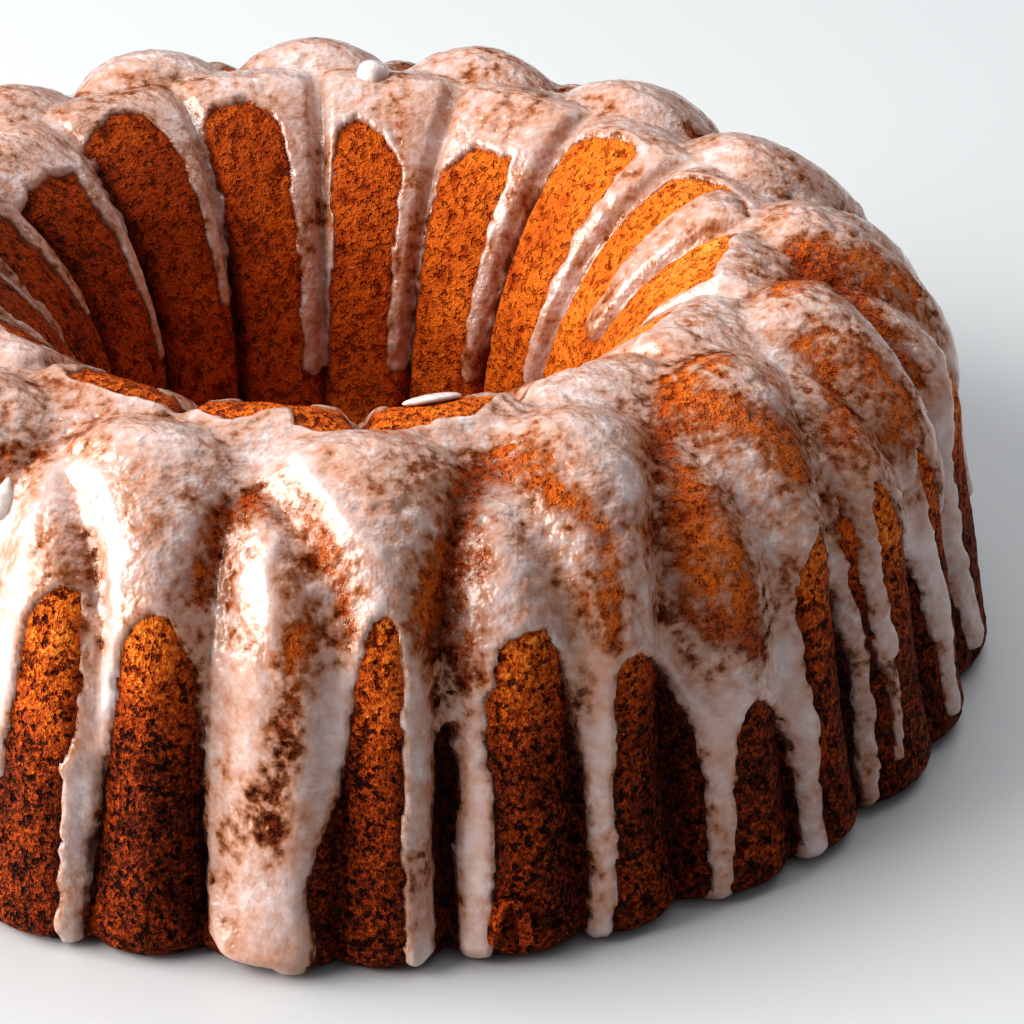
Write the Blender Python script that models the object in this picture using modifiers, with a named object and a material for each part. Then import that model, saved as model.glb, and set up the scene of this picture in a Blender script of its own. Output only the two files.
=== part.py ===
"""Glazed ring cake from a fluted tube pan, as one solid with its thick glaze drips fused on.

Metres, +Z up. The origin is the centre of the flat base, and the front faces -Y.
An angle goes round the cake from the front, positive towards +X, in degrees.
A reach is a distance along the section: from the outer edge of the base up the wall,
over the crest and down into the hole.
"""
import math
import random

import bmesh
import bpy
import numpy as np
from mathutils import Vector

MM = 0.001

# The section of the ring, measured to the tops of the ridges.
BASE_RADIUS = 125 * MM
BASE_ROUNDING = 4 * MM
WALL_TOP_RADIUS = 116.5 * MM
WALL_TOP_HEIGHT = 45 * MM
HEIGHT = 78 * MM
CREST_RADIUS = 82 * MM
SHOULDER_POWER = 1.85
THROAT_RADIUS = 40 * MM
THROAT_HEIGHT = 20 * MM
HOLE_RADIUS = 34 * MM

# The mesh of the turned ring: rows along the section, bunched over the shoulder, and steps round it.
CORNER_ROWS = (0.0, 3.0 * MM, 6.3 * MM)
OTHER_ROWS = 19
ROW_BUNCHING = 0.035
SEGMENTS = 160
MERGE_DISTANCE = 0.02 * MM
NORMAL_STEP = 1.5 * MM

# The flutes. The pan has one main flute to each lobe of the crest, and between two lobes
# a second ridge starts at the crest valley and widens down the wall.
FLUTES = 16
CREST_VALLEYS_IN_FRONT = (-31, -9, 15.5, 37, 59)
WALL_RIDGES_IN_FRONT = (-22.5, -3.3, 15.5, 35.5, 56)
WALL_ZONE = (50 * MM, 92 * MM)
HOLE_ZONE = (94 * MM, 114 * MM)
FOOT_ZONE = (2 * MM, 22 * MM)
HOLE_FOOT = 50 * MM
FOOT_SHARE = 0.6
RIDGE_ROUNDNESS = 0.75

# Each line of a flute: its place across the flute as a share of its width, and its depth
# below the ridge tops, on the wall, at the crest and in the hole.
FLUTE_LINES = (
    ((0.00, 0.0), (0.00, 6.5), (0.00, 0.0)),
    ((0.20, 5.0), (0.06, 6.0), (0.36, 0.8)),
    ((0.41, 0.3), (0.50, 0.0), (0.50, 5.5)),
    ((0.65, 8.0), (0.94, 6.0), (0.64, 0.8)),
)

# Uneven baking: slow waves over the surface.
WAVE_HEIGHT = 0.45 * MM
WAVES = 7

# Glaze drips that the front shows: width in mm, then (angle, reach in mm) from top to end.
FRONT_DRIPS = (
    (4.6, (-27.6, 62), (-27.4, 30)),
    (4.8, (-19.6, 64), (-19.2, 36), (-20.0, 3)),
    (5.4, (-10.4, 62), (-10.0, 34), (-8.6, 8)),
    (5.6, (-5.6, 26), (-5.0, 6)),
    (5.6, (0.6, 64), (-1.4, 34), (-2.6, 14), (-2.6, 2)),
    (4.4, (7.0, 58), (6.2, 34), (5.9, 5)),
    (4.6, (10.4, 54), (10.6, 34), (10.8, 2)),
    (5.2, (18.8, 64), (20.2, 34), (20.2, 3)),
    (4.8, (25.4, 62), (28.2, 48), (30.8, 30), (31.2, 2)),
    (5.2, (37.0, 58), (39.2, 40), (40.2, 3)),
    (4.2, (45.6, 64), (47.0, 40), (47.0, 4)),
    (4.4, (49.8, 64), (51.6, 34), (52.2, 12)),
    (4.8, (57.0, 62), (60.0, 36), (62.5, 10)),
    (4.6, (63.5, 62), (67.5, 30), (69.5, 12)),
)
HIDDEN_WALL = (74, 326)
HIDDEN_DRIP_STEP = 12.5
HIDDEN_DRIP_REACH = 62
HIDDEN_DRIP_SPREAD = 2.5
HIDDEN_DRIP_LEAN = (-2.0, 3.0)
HIDDEN_DRIP_ENDS = (3, 3, 6, 12, 24, 34)
HIDDEN_DRIP_WIDTH = (4.2, 5.4)

# The form of a drip: how far it sinks into the surface, and its size at its start, bead and tip,
# each as a share of its radius.
DRIP_SINK = 0.37
DRIP_START = 0.5
DRIP_BEAD = 1.22
DRIP_TIP = 0.6
DRIP_TIP_LENGTH = 0.7
DRIP_STEP = 13 * MM
DRIP_FOOT = 6 * MM
DRIP_LOWEST = 0.6 * MM

# Drips down the grooves inside the hole: where they start and how far the shortest and longest go.
HOLE_DRIP_START = 112
HOLE_DRIP_END = (146, 176)
HOLE_DRIP_WIDTH = (4.2, 6.2)
HOLE_DRIP_SHIFT = (-1.0, 1.5)

# Beads and blobs of glaze: angle, reach in mm, then length, width and height in mm.
GLAZE_BLOBS = (
    (-37, 82, 11, 7, 3.4),
    (12, 107, 5, 11, 3.2),
    (174, 109, 8, 7.5, 6.0),
    (18, 70, 6, 5, 2.8),
)
BLOB_SINK = 0.12

CRUST_COLOUR = (0.36, 0.12, 0.03, 1.0)
CRUST_ROUGHNESS = 0.62
SHARP_ANGLE = math.radians(50)
DRIP_SEED = 11
WAVE_SEED = 5


def clear_scene():
    """Remove the objects that the file opened with."""
    for thing in list(bpy.data.objects):
        bpy.data.objects.remove(thing, do_unlink=True)


def ease(value, start, end):
    """Rise smoothly from 0 at start to 1 at end."""
    t = min(max((value - start) / (end - start), 0.0), 1.0)
    return t * t * (3 - 2 * t)


def section_outline(points=48):
    """Fine outline of the section from the outer edge of the base to the lower edge of the hole."""
    quarter = [i / points * math.pi / 2 for i in range(points + 1)]
    corner = [
        (
            BASE_RADIUS - BASE_ROUNDING * (1 - math.sin(a)),
            BASE_ROUNDING * (1 - math.cos(a)),
        )
        for a in quarter
    ]
    bulge = 2 / SHOULDER_POWER
    shoulder = [
        (
            CREST_RADIUS + (WALL_TOP_RADIUS - CREST_RADIUS) * math.cos(a) ** bulge,
            WALL_TOP_HEIGHT + (HEIGHT - WALL_TOP_HEIGHT) * math.sin(a) ** bulge,
        )
        for a in quarter[:-1]
    ]
    throat = [
        (
            CREST_RADIUS - (CREST_RADIUS - THROAT_RADIUS) * math.sin(a),
            THROAT_HEIGHT + (HEIGHT - THROAT_HEIGHT) * math.cos(a),
        )
        for a in quarter
    ]
    return np.array(corner + shoulder + throat + [(HOLE_RADIUS, 0.0)])


OUTLINE = section_outline()
OUTLINE_REACH = np.concatenate(([0.0], np.cumsum(np.hypot(*np.diff(OUTLINE, axis=0).T))))


def section_point(reach):
    """Radius and height at a reach along the section."""
    return (
        float(np.interp(reach, OUTLINE_REACH, OUTLINE[:, 0])),
        float(np.interp(reach, OUTLINE_REACH, OUTLINE[:, 1])),
    )


def section_normal(reach):
    """Outward direction at a reach, as radial and upward shares, turned level near the base."""
    ahead = section_point(min(reach + NORMAL_STEP, OUTLINE_REACH[-1]))
    behind = section_point(max(reach - NORMAL_STEP, 0.0))
    outward = Vector((ahead[1] - behind[1], behind[0] - ahead[0])).normalized()
    outward.y *= ease(section_point(reach)[1], 0.0, 3 * BASE_ROUNDING)
    return outward.normalized()


def around(front_angles):
    """Angles of all the flutes: the ones in front as seen, the hidden ones evenly spaced."""
    hidden = FLUTES - len(front_angles) + 1
    step = (front_angles[0] + 360 - front_angles[-1]) / hidden
    return list(front_angles) + [front_angles[-1] + step * i for i in range(1, hidden)]


CREST_ANGLES = around(CREST_VALLEYS_IN_FRONT)
WALL_ANGLES = around(WALL_RIDGES_IN_FRONT)


def flute_lines(reach):
    """Angles and depths of all ridge and valley lines at one reach."""
    up = min(max((reach - WALL_ZONE[0]) / (WALL_ZONE[1] - WALL_ZONE[0]), 0.0), 1.0) ** 2
    inside = ease(reach, *HOLE_ZONE)
    weights = ((1 - up), up * (1 - inside), up * inside)
    foot = FOOT_SHARE + (1 - FOOT_SHARE) * ease(reach, *FOOT_ZONE)
    foot *= 1 - (1 - FOOT_SHARE) * ease(reach, OUTLINE_REACH[-1] - HOLE_FOOT, OUTLINE_REACH[-1])
    lines = []
    for index in range(FLUTES):
        after = (index + 1) % FLUTES
        turn = 360 if after == 0 else 0
        wall_width = WALL_ANGLES[after] + turn - WALL_ANGLES[index]
        crest_width = CREST_ANGLES[after] + turn - CREST_ANGLES[index]
        for wall, crest, hole in FLUTE_LINES:
            places = (
                WALL_ANGLES[index] + wall[0] * wall_width,
                CREST_ANGLES[index] + crest[0] * crest_width,
                CREST_ANGLES[index] + hole[0] * crest_width,
            )
            angle = sum(w * place for w, place in zip(weights, places))
            depth = sum(w * zone[1] for w, zone in zip(weights, (wall, crest, hole)))
            lines.append((angle, depth * foot * MM))
    return lines


def flute_depth(angle, lines):
    """Depth below the ridge tops at one angle, rounded over ridges and sharp in valleys."""
    first = lines[0][0]
    angle = first + (angle - first) % 360
    closed = lines + [(first + 360, lines[0][1])]
    for (left, left_depth), (right, right_depth) in zip(closed, closed[1:]):
        if angle <= right:
            share = (angle - left) / (right - left)
            deep = max(left_depth, right_depth)
            high = min(left_depth, right_depth)
            from_valley = share if left_depth >= right_depth else 1 - share
            rise = math.sin(max(from_valley, 0.0) * math.pi / 2) ** RIDGE_ROUNDNESS
            return deep + (high - deep) * rise
    return lines[0][1]


def make_waves():
    """Directions and phases of the slow waves, drawn once."""
    draw = random.Random(WAVE_SEED)
    return [
        (draw.randint(2, 13), draw.uniform(20, 75), draw.uniform(0, math.tau))
        for _ in range(WAVES)
    ]


SURFACE_WAVES = make_waves()


def wave_depth(angle, reach):
    """Slow unevenness of the surface."""
    total = sum(
        math.sin(count * math.radians(angle) + reach * pitch + phase)
        for count, pitch, phase in SURFACE_WAVES
    )
    return WAVE_HEIGHT * (1 + total / WAVES)


def surface_point(angle, reach, lift=0.0, lines=None):
    """Point of the cake's surface at an angle and reach, raised by lift along its normal."""
    radius, height = section_point(reach)
    outward = section_normal(reach)
    out = lift - flute_depth(angle, lines or flute_lines(reach)) - wave_depth(angle, reach)
    radius += outward.x * out
    height += outward.y * out
    turn = math.radians(angle)
    return Vector((radius * math.sin(turn), -radius * math.cos(turn), height))


def row_reaches():
    """Reaches of the rows of points, closer together over the shoulder than down the walls."""
    start = CORNER_ROWS[-1]
    even = np.linspace(0.0, 1.0, OTHER_ROWS + 1)[1:]
    bunched = even + ROW_BUNCHING * np.sin(2 * math.tau * even)
    return list(CORNER_ROWS) + list(start + (OUTLINE_REACH[-1] - start) * bunched)


def new_object(name, mesh, collection):
    """Link a mesh to a collection as a new object."""
    thing = bpy.data.objects.new(name, mesh)
    collection.objects.link(thing)
    return thing


def turned_ring(collection):
    """The plain ring: its closed section turned round the Z axis by a Screw modifier."""
    rows = row_reaches()
    mesh = bpy.data.meshes.new("cake")
    outline = bmesh.new()
    places = [section_point(reach) for reach in reversed(rows)]
    points = [outline.verts.new((radius, 0.0, height)) for radius, height in places]
    for here, there in zip(points, points[1:] + points[:1]):
        outline.edges.new((here, there))
    outline.to_mesh(mesh)
    outline.free()
    ring = new_object("cake", mesh, collection)
    turn = ring.modifiers.new("turn", "SCREW")
    turn.steps = SEGMENTS
    turn.render_steps = SEGMENTS
    turn.use_merge_vertices = True
    turn.merge_threshold = MERGE_DISTANCE
    return ring


def flute_ring(ring):
    """Make the turned ring a mesh and press the flutes and the unevenness into it."""
    graph = bpy.context.evaluated_depsgraph_get()
    mesh = bpy.data.meshes.new_from_object(ring.evaluated_get(graph))
    ring.modifiers.clear()
    ring.data = mesh
    rows = row_reaches()
    lines = [flute_lines(reach) for reach in rows]
    places = np.array([section_point(reach) for reach in rows])
    for point in mesh.vertices:
        radius = math.hypot(point.co.x, point.co.y)
        row = int(np.argmin(np.hypot(places[:, 0] - radius, places[:, 1] - point.co.z)))
        angle = math.degrees(math.atan2(point.co.x, -point.co.y))
        point.co = surface_point(angle, rows[row], 0.0, lines[row])
        if row in (0, len(rows) - 1):
            point.co.z = 0.0


def drip_path(points):
    """Places down the surface between a drip's points, as angle and reach."""
    path = [(points[0][0], points[0][1] * MM)]
    for (angle, reach), (next_angle, next_reach) in zip(points, points[1:]):
        steps = max(1, round(abs(next_reach - reach) * MM / DRIP_STEP))
        for i in range(1, steps + 1):
            share = i / steps
            place = reach + (next_reach - reach) * share
            path.append((angle + (next_angle - angle) * share, place * MM))
    return path


def drip_point(angle, reach, lift):
    """Centre of a drip: on the surface, and straight down past the rounded foot of the wall."""
    point = surface_point(angle, max(reach, DRIP_FOOT), lift)
    if reach < DRIP_FOOT:
        point.z = reach
    return point


def add_drip(name, width, points, collection):
    """A drip that swells to a bead at its end, as a bevelled curve made into a mesh."""
    radius = width * MM / 2
    path = drip_path(points)
    places = [drip_point(angle, reach, -DRIP_SINK * radius) for angle, reach in path]
    sizes = [DRIP_START] + [1.0] * (len(places) - 2) + [DRIP_BEAD]
    tip = (places[-1] - places[-2]).normalized() * radius * DRIP_TIP_LENGTH
    places.append(places[-1] + tip)
    sizes.append(DRIP_TIP)
    curve = bpy.data.curves.new(name, "CURVE")
    curve.dimensions = "3D"
    curve.bevel_depth = radius
    curve.bevel_resolution = 2
    curve.use_fill_caps = True
    spline = curve.splines.new("POLY")
    spline.points.add(len(places) - 1)
    for knot, place, size in zip(spline.points, places, sizes):
        knot.co = (place.x, place.y, max(place.z, DRIP_LOWEST), 1.0)
        knot.radius = size
    tube = new_object(name, curve, collection)
    bpy.context.view_layer.update()
    graph = bpy.context.evaluated_depsgraph_get()
    mesh = bpy.data.meshes.new_from_object(tube.evaluated_get(graph))
    bpy.data.objects.remove(tube, do_unlink=True)
    welded = bmesh.new()
    welded.from_mesh(mesh)
    bmesh.ops.remove_doubles(welded, verts=welded.verts, dist=MERGE_DISTANCE)
    welded.to_mesh(mesh)
    welded.free()
    return new_object(name, mesh, collection)


def hidden_drips():
    """Drips round the back of the wall, like the ones in front, some short and some long."""
    draw = random.Random(DRIP_SEED)
    drips = []
    angle = HIDDEN_WALL[0]
    while angle < HIDDEN_WALL[1]:
        lean = draw.uniform(*HIDDEN_DRIP_LEAN)
        end = draw.choice(HIDDEN_DRIP_ENDS)
        middle = (HIDDEN_DRIP_REACH + end) / 2
        path = ((angle, HIDDEN_DRIP_REACH), (angle + lean, middle), (angle + lean, end))
        drips.append((draw.uniform(*HIDDEN_DRIP_WIDTH), *path))
        angle += HIDDEN_DRIP_STEP + draw.uniform(-HIDDEN_DRIP_SPREAD, HIDDEN_DRIP_SPREAD)
    return drips


def hole_drips():
    """Drips down the grooves of the hole, one in each."""
    draw = random.Random(DRIP_SEED + 1)
    drips = []
    for index, angle in enumerate(CREST_ANGLES):
        following = CREST_ANGLES[(index + 1) % FLUTES] + (360 if index == FLUTES - 1 else 0)
        groove = (angle + following) / 2 + draw.uniform(*HOLE_DRIP_SHIFT)
        end = draw.uniform(*HOLE_DRIP_END)
        drips.append((draw.uniform(*HOLE_DRIP_WIDTH), (groove, HOLE_DRIP_START), (groove, end)))
    return drips


def add_blob(name, angle, reach, size, collection):
    """A bead of glaze: a sphere pressed out of round, half sunk where it sits."""
    bpy.ops.mesh.primitive_uv_sphere_add(segments=12, ring_count=8, radius=0.5 * MM)
    bead = bpy.context.active_object
    bead.name = name
    outward = section_normal(reach * MM)
    turn = math.radians(angle)
    upright = math.atan2(outward.x, outward.y)
    bead.scale = (size[1], size[0], size[2])
    bead.rotation_euler = (upright, 0.0, turn)
    bead.location = surface_point(angle, reach * MM, -BLOB_SINK * size[2] * MM)
    bpy.context.view_layer.update()
    bead.data.transform(bead.matrix_world)
    bead.matrix_world.identity()
    for owner in list(bead.users_collection):
        owner.objects.unlink(bead)
    collection.objects.link(bead)


def fuse(ring, extras):
    """Join every drip and bead to the cake by one union, then drop the loose copies."""
    union = ring.modifiers.new("fuse glaze", "BOOLEAN")
    union.operation = "UNION"
    union.operand_type = "COLLECTION"
    union.collection = extras
    union.solver = "EXACT"
    bpy.context.view_layer.update()
    graph = bpy.context.evaluated_depsgraph_get()
    mesh = bpy.data.meshes.new_from_object(ring.evaluated_get(graph))
    ring.modifiers.clear()
    ring.data = mesh
    for thing in list(extras.objects):
        bpy.data.objects.remove(thing, do_unlink=True)
    bpy.data.collections.remove(extras)


def crust_material():
    """Brown crust, a little rough."""
    crust = bpy.data.materials.new("crust")
    crust.use_nodes = True
    shader = crust.node_tree.nodes["Principled BSDF"]
    shader.inputs["Base Color"].default_value = CRUST_COLOUR
    shader.inputs["Roughness"].default_value = CRUST_ROUGHNESS
    shader.inputs["Metallic"].default_value = 0.0
    return crust


def build():
    """The whole cake."""
    clear_scene()
    parts = bpy.data.collections.new("pound_cake")
    extras = bpy.data.collections.new("glaze_pieces")
    bpy.context.scene.collection.children.link(parts)
    bpy.context.scene.collection.children.link(extras)
    ring = turned_ring(parts)
    bpy.context.view_layer.update()
    flute_ring(ring)
    drips = list(FRONT_DRIPS) + hidden_drips() + hole_drips()
    for number, (width, *points) in enumerate(drips):
        add_drip(f"drip_{number}", width, points, extras)
    for number, (angle, reach, *size) in enumerate(GLAZE_BLOBS):
        add_blob(f"bead_{number}", angle, reach, size, extras)
    fuse(ring, extras)
    ring.data.materials.clear()
    ring.data.materials.append(crust_material())
    ring.data.shade_smooth()
    ring.data.set_sharp_from_angle(angle=SHARP_ANGLE)


build()
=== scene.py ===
"""Glazed pound cake from a fluted tube pan: its look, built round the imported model.

Blender works in metres, +Z up, and the front faces -Y. The sizes below are in millimetres.
An angle goes round the cake from the front, positive towards +X, in degrees.
A reach is a distance along the section: from the outer edge of the base up the wall,
over the crest and down into the hole.
"""
import math
import random

import bpy
import numpy as np
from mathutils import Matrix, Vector


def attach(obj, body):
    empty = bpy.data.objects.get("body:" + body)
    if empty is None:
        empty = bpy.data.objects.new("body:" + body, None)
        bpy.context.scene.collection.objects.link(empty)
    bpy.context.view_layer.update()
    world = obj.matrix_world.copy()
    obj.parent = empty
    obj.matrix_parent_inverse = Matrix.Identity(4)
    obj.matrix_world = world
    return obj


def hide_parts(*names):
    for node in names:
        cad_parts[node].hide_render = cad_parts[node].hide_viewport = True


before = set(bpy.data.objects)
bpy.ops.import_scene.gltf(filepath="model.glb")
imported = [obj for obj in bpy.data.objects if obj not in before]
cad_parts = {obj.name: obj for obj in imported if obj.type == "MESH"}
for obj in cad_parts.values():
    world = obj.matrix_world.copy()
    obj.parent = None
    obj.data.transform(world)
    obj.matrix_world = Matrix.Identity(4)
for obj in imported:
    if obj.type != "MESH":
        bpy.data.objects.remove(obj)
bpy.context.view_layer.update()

MM = 0.001

# The section of the ring, as in the part's source.
BASE_RADIUS = 125
BASE_ROUNDING = 4
WALL_TOP_RADIUS = 116.5
WALL_TOP_HEIGHT = 45
HEIGHT = 78
CREST_RADIUS = 82
SHOULDER_POWER = 1.85
THROAT_RADIUS = 40
THROAT_HEIGHT = 20
HOLE_RADIUS = 34
NORMAL_STEP = 1.5

# The flutes, as in the part's source.
FLUTES = 16
CREST_VALLEYS_IN_FRONT = (-31, -9, 15.5, 37, 59)
WALL_RIDGES_IN_FRONT = (-22.5, -3.3, 15.5, 35.5, 56)
WALL_ZONE = (50, 92)
HOLE_ZONE = (94, 114)
FOOT_ZONE = (2, 22)
HOLE_FOOT = 50
FOOT_SHARE = 0.6
RIDGE_ROUNDNESS = 0.75
FLUTE_LINES = (
    ((0.00, 0.0), (0.00, 6.5), (0.00, 0.0)),
    ((0.20, 5.0), (0.06, 6.0), (0.36, 0.8)),
    ((0.41, 0.3), (0.50, 0.0), (0.50, 5.5)),
    ((0.65, 8.0), (0.94, 6.0), (0.64, 0.8)),
)
WAVE_HEIGHT = 0.45
WAVES = 7
WAVE_SEED = 5

# The turned meshes: steps round the ring, and the reaches where one piece meets the next.
STEPS = 1000
WALL_ROWS = np.linspace(0, 66, 89)
CREST_ROWS = np.linspace(66, 112, 89)
THROAT_ROWS = np.linspace(112, 199, 76)
GLAZE_THROAT_ROWS = np.linspace(112, 184, 84)
INNER_STEP = 11
CRUST_INNER_DEPTH = 5
GLAZE_INNER_DEPTH = 3.4
BASE_SHARES = (0.03, 0.1, 0.2, 0.3, 0.4, 0.5, 0.6, 0.7, 0.8, 0.9, 0.97, 1.0)
MERGE_DISTANCE = 0.01 * MM

# Runs of glaze down the front wall, as traced: (reach, left edge, right edge) from top to end.
FRONT_RUNS = (
    ((68, -31, -23.4), (62, -29.6, -24.3), (55, -29.2, -25.2), (45, -29.1, -26), (28, -28.6, -26.8)),
    ((61, -20.9, -15.7), (56, -20.4, -16.8), (46, -20.2, -17.4), (38, -20.8, -17.9),
     (35, -21.3, -18.1), (31, -20.9, -18.4), (18, -20.9, -19), (1.5, -20.9, -19.4)),
    ((62, -12.6, 2.8), (53, -11.2, 1.8), (40, -10.4, 1), (33, -10.4, 0.3), (24, -10.1, -1.4),
     (14, -9.7, -1.9), (8, -9.4, -1.2), (4, -8.6, -1.2)),
    ((12, -5, -1.6), (6, -4.6, -1.6), (0.8, -4, -1.9)),
    ((60, 5.4, 7.9), (47, 5.4, 7.9), (33, 5.8, 7.9), (28, 5.4, 7.7), (23, 5.8, 7.3), (12, 5.8, 7.6),
     (3, 5.2, 7.6)),
    ((50, 9.2, 12.7), (42, 10.1, 12.2), (32, 10.1, 12.5), (20, 9.7, 12.2), (14, 10.1, 12.2),
     (1.5, 9.7, 11.9)),
    ((61, 17.2, 23.6), (52, 18.6, 23), (46, 19.7, 22.8), (16, 20.5, 22), (1.5, 19.8, 21.6)),
    ((46, 28.6, 36.6), (40, 29.8, 35.4), (32, 31, 33.6), (18, 31.2, 33.1), (1.5, 31, 32.4)),
    ((51, 38, 41.4), (44, 37.6, 41.8), (36, 37.6, 42.1), (30, 39.8, 42.5), (20, 40.3, 42.4),
     (2, 40.3, 42.1)),
    ((61, 46, 50.2), (56, 46.8, 50.4), (51, 48, 50.4), (44, 49.6, 50.9), (32, 50.2, 51.5),
     (29, 50, 51.6), (21, 50.4, 51.5), (10, 49.3, 50.9), (3, 49.2, 50.5)),
    ((66, 52.4, 55), (58, 51.5, 53.4), (42, 51.8, 53.9), (30, 52.6, 54.5)),
    ((31, 52.7, 54.1), (19, 52.9, 54.1), (11, 52.6, 53.6)),
    ((57, 56.2, 63.4), (48, 58.3, 63.9), (41, 61.4, 64.4), (28, 62.6, 65.6), (20, 63.2, 65.2),
     (7, 63, 64.8)),
    ((62, 64.4, 68.2), (50, 66, 69.5), (40, 69.5, 73), (28, 73, 75.6), (15, 74.2, 76.4),
     (8, 73.8, 76.3)),
)

# Runs round the hidden side of the wall and down the grooves of the hole.
HIDDEN_WALL = (74, 326)
HIDDEN_RUN_STEP = 12.5
HIDDEN_RUN_REACH = 62
HIDDEN_RUN_SPREAD = 2.5
HIDDEN_RUN_LEAN = (-2.0, 3.0)
HIDDEN_RUN_ENDS = (3, 3, 6, 12, 24, 34)
HIDDEN_RUN_WIDTH = (4.2, 5.4)
HIDDEN_RUN_MIDDLE = 20
HOLE_RUN_START = 109
HOLE_RUN_START_IN_FRONT = 118
HOLE_FRONT = 35
HOLE_RUN_MIDDLE = 132
HOLE_RUN_END = (146, 176)
HOLE_RUN_WIDTH = (4.2, 6.2)
HOLE_RUN_SHIFT = (-1.0, 1.5)
HOLE_RUN_TURN = 3.0
HOLE_TURNED = (85, 260)
RUN_SEED = 11
# How they narrow: millimetres down from HIDDEN_RUN_REACH, and the sides to the left and right as
# shares of the half width. In the hole the same share counts for both sides.
HIDDEN_RUN_FUNNEL = ((-6, 5.6, 5.6), (1, 4.0, 3.4), (7, 1.9, 1.8), (14, 1.1, 1.2))
HOLE_RUN_FUNNEL = 8
HOLE_RUN_SHARES = (2.0, 1.6, 1.25, 0.9)
# Millimetres of one degree on the wall and in the hole, for the widths of these runs.
WALL_DEGREE = 2.1
HOLE_DEGREE = 0.85

# The lower edge of the glaze cap between its runs, and its edge towards the hole: (angle, reach).
CAP_LOWER_EDGE = (
    (-33, 62), (-31, 64), (-25, 60), (-23.8, 62), (-22.7, 64), (-21.2, 64), (-20.6, 60), (-18.5, 56),
    (-16.6, 57.5), (-16.2, 60.5), (-15.1, 62), (-14.4, 63), (-13.3, 62.5), (-12.4, 60.5),
    (-11.6, 57), (-8, 55), (0.8, 56), (2.2, 58.5), (2.6, 61.5), (3.3, 63.7), (4.2, 64.2),
    (5, 62.5), (5.5, 58), (6.4, 51), (7.7, 44.5), (8.6, 42.2), (9.6, 44.5), (11.5, 47),
    (12.7, 51), (13.1, 56.5), (14, 59), (15.8, 59.7), (17.3, 59.3), (18.4, 55), (20.2, 50),
    (22.8, 49.5), (23.6, 51.5), (25.2, 51.7), (26.6, 49.5), (28.8, 46), (30, 40), (31.5, 36),
    (33.8, 35.2), (34.8, 37), (35.8, 38), (36.6, 37.5), (37.6, 36), (39, 39), (40.8, 42),
    (41.4, 50), (41.9, 55), (43.2, 58.5), (44.4, 60), (45.4, 62), (47, 60), (50.2, 58.5),
    (50.9, 60), (51.4, 64), (51.9, 63), (52.6, 60), (54, 60), (54.5, 62.6), (55.4, 63.2),
    (56, 59.5), (57.6, 56), (62, 55), (63.2, 58), (63.8, 61), (64.4, 60), (65.4, 57),
    (68.2, 60), (69.3, 64.5), (72, 66.5), (74.5, 64), (76.7, 63),
)
CAP_HOLE_EDGE = (
    (-46, 116), (-39, 111), (-36, 109), (-31, 108.3), (-27, 108.6), (-22, 110), (-18.7, 111),
    (-14.8, 107.5), (-12.2, 107), (-9.4, 109), (-6.1, 110.5), (-5.2, 110), (-4.7, 106.5),
    (-1.8, 105), (1.8, 103.6), (5.4, 104.2), (7.9, 105.6), (11.9, 106.6), (15.5, 107),
    (17.6, 107.5), (19.1, 108.5), (22, 112), (26, 116), (33, 117), (36, 115), (44, 118), (60, 117),
    (75, 114), (84, 112), (90, 110), (95, 107), (102, 105.5), (106, 108), (112, 114),
    (117, 119), (122, 114), (128, 113), (134, 116), (141, 124), (147, 126), (152, 125),
    (157, 131), (166, 133), (171, 125), (176, 122.5), (180, 125), (186, 131), (191, 121),
    (195, 117), (201, 117), (206, 124), (210, 126), (214, 117), (219, 114), (225, 117),
    (232, 124), (240, 122), (246, 122), (252, 125), (260, 119), (270, 122), (285, 118),
    (300, 116), (308, 114),
)
# Both edges on the hidden side: reach, seed and spread, then the steps in degrees.
HIDDEN_LOWER_EDGE = (63.5, 41, 2.5)
HIDDEN_HOLE_EDGE = (118, 42, 3.0)
EDGE_GAP = 6
EDGE_STEP = (5, 9)

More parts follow.
